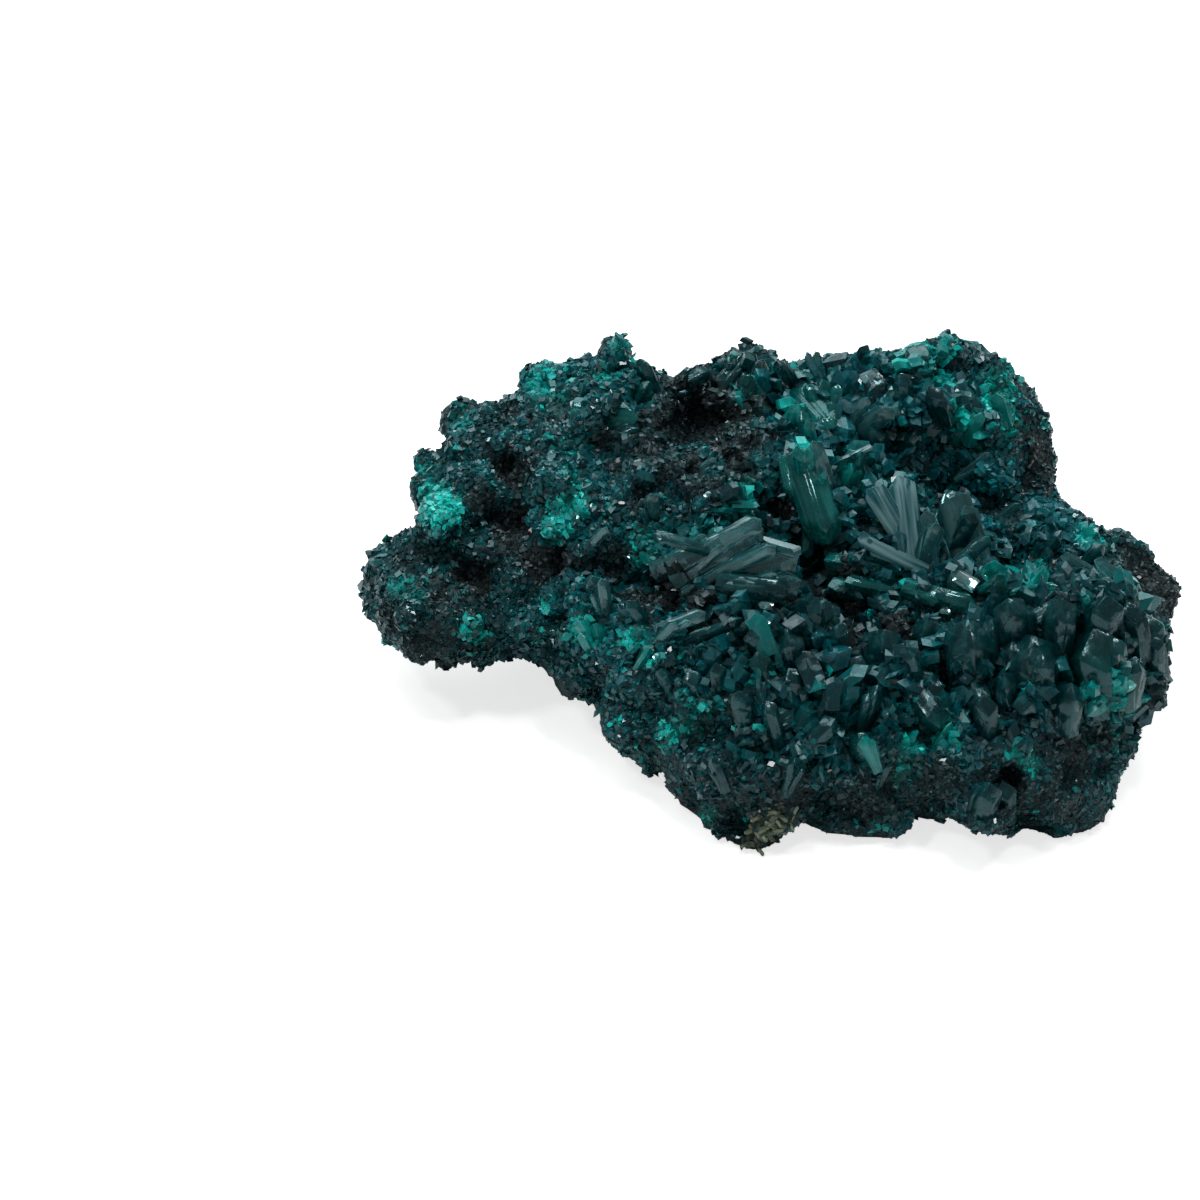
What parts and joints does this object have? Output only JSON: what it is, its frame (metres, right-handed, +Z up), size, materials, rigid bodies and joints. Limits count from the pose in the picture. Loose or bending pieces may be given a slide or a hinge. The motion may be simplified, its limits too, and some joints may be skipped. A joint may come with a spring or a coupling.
{
  "type": "dioptase crystal specimen",
  "caption": "Palm-sized mineral specimen: dark matrix rock overgrown by intergrown green hexagonal dioptase crystals.",
  "frame": {"origin": "middle of the bounding box's base, on the surface that the specimen rests on", "axes": "+X along the longest extent, to the right as the picture shows it; +Y from the low front edge to the high back edge; +Z up"},
  "size_m": [0.0675, 0.0431, 0.0249],
  "materials": {
    "dark_dioptase": "glassy crystal faces over dark matrix"
  },
  "bodies": {
    "root": {"dioptase_specimen": "dark_dioptase"}
  },
  "joints": []
}
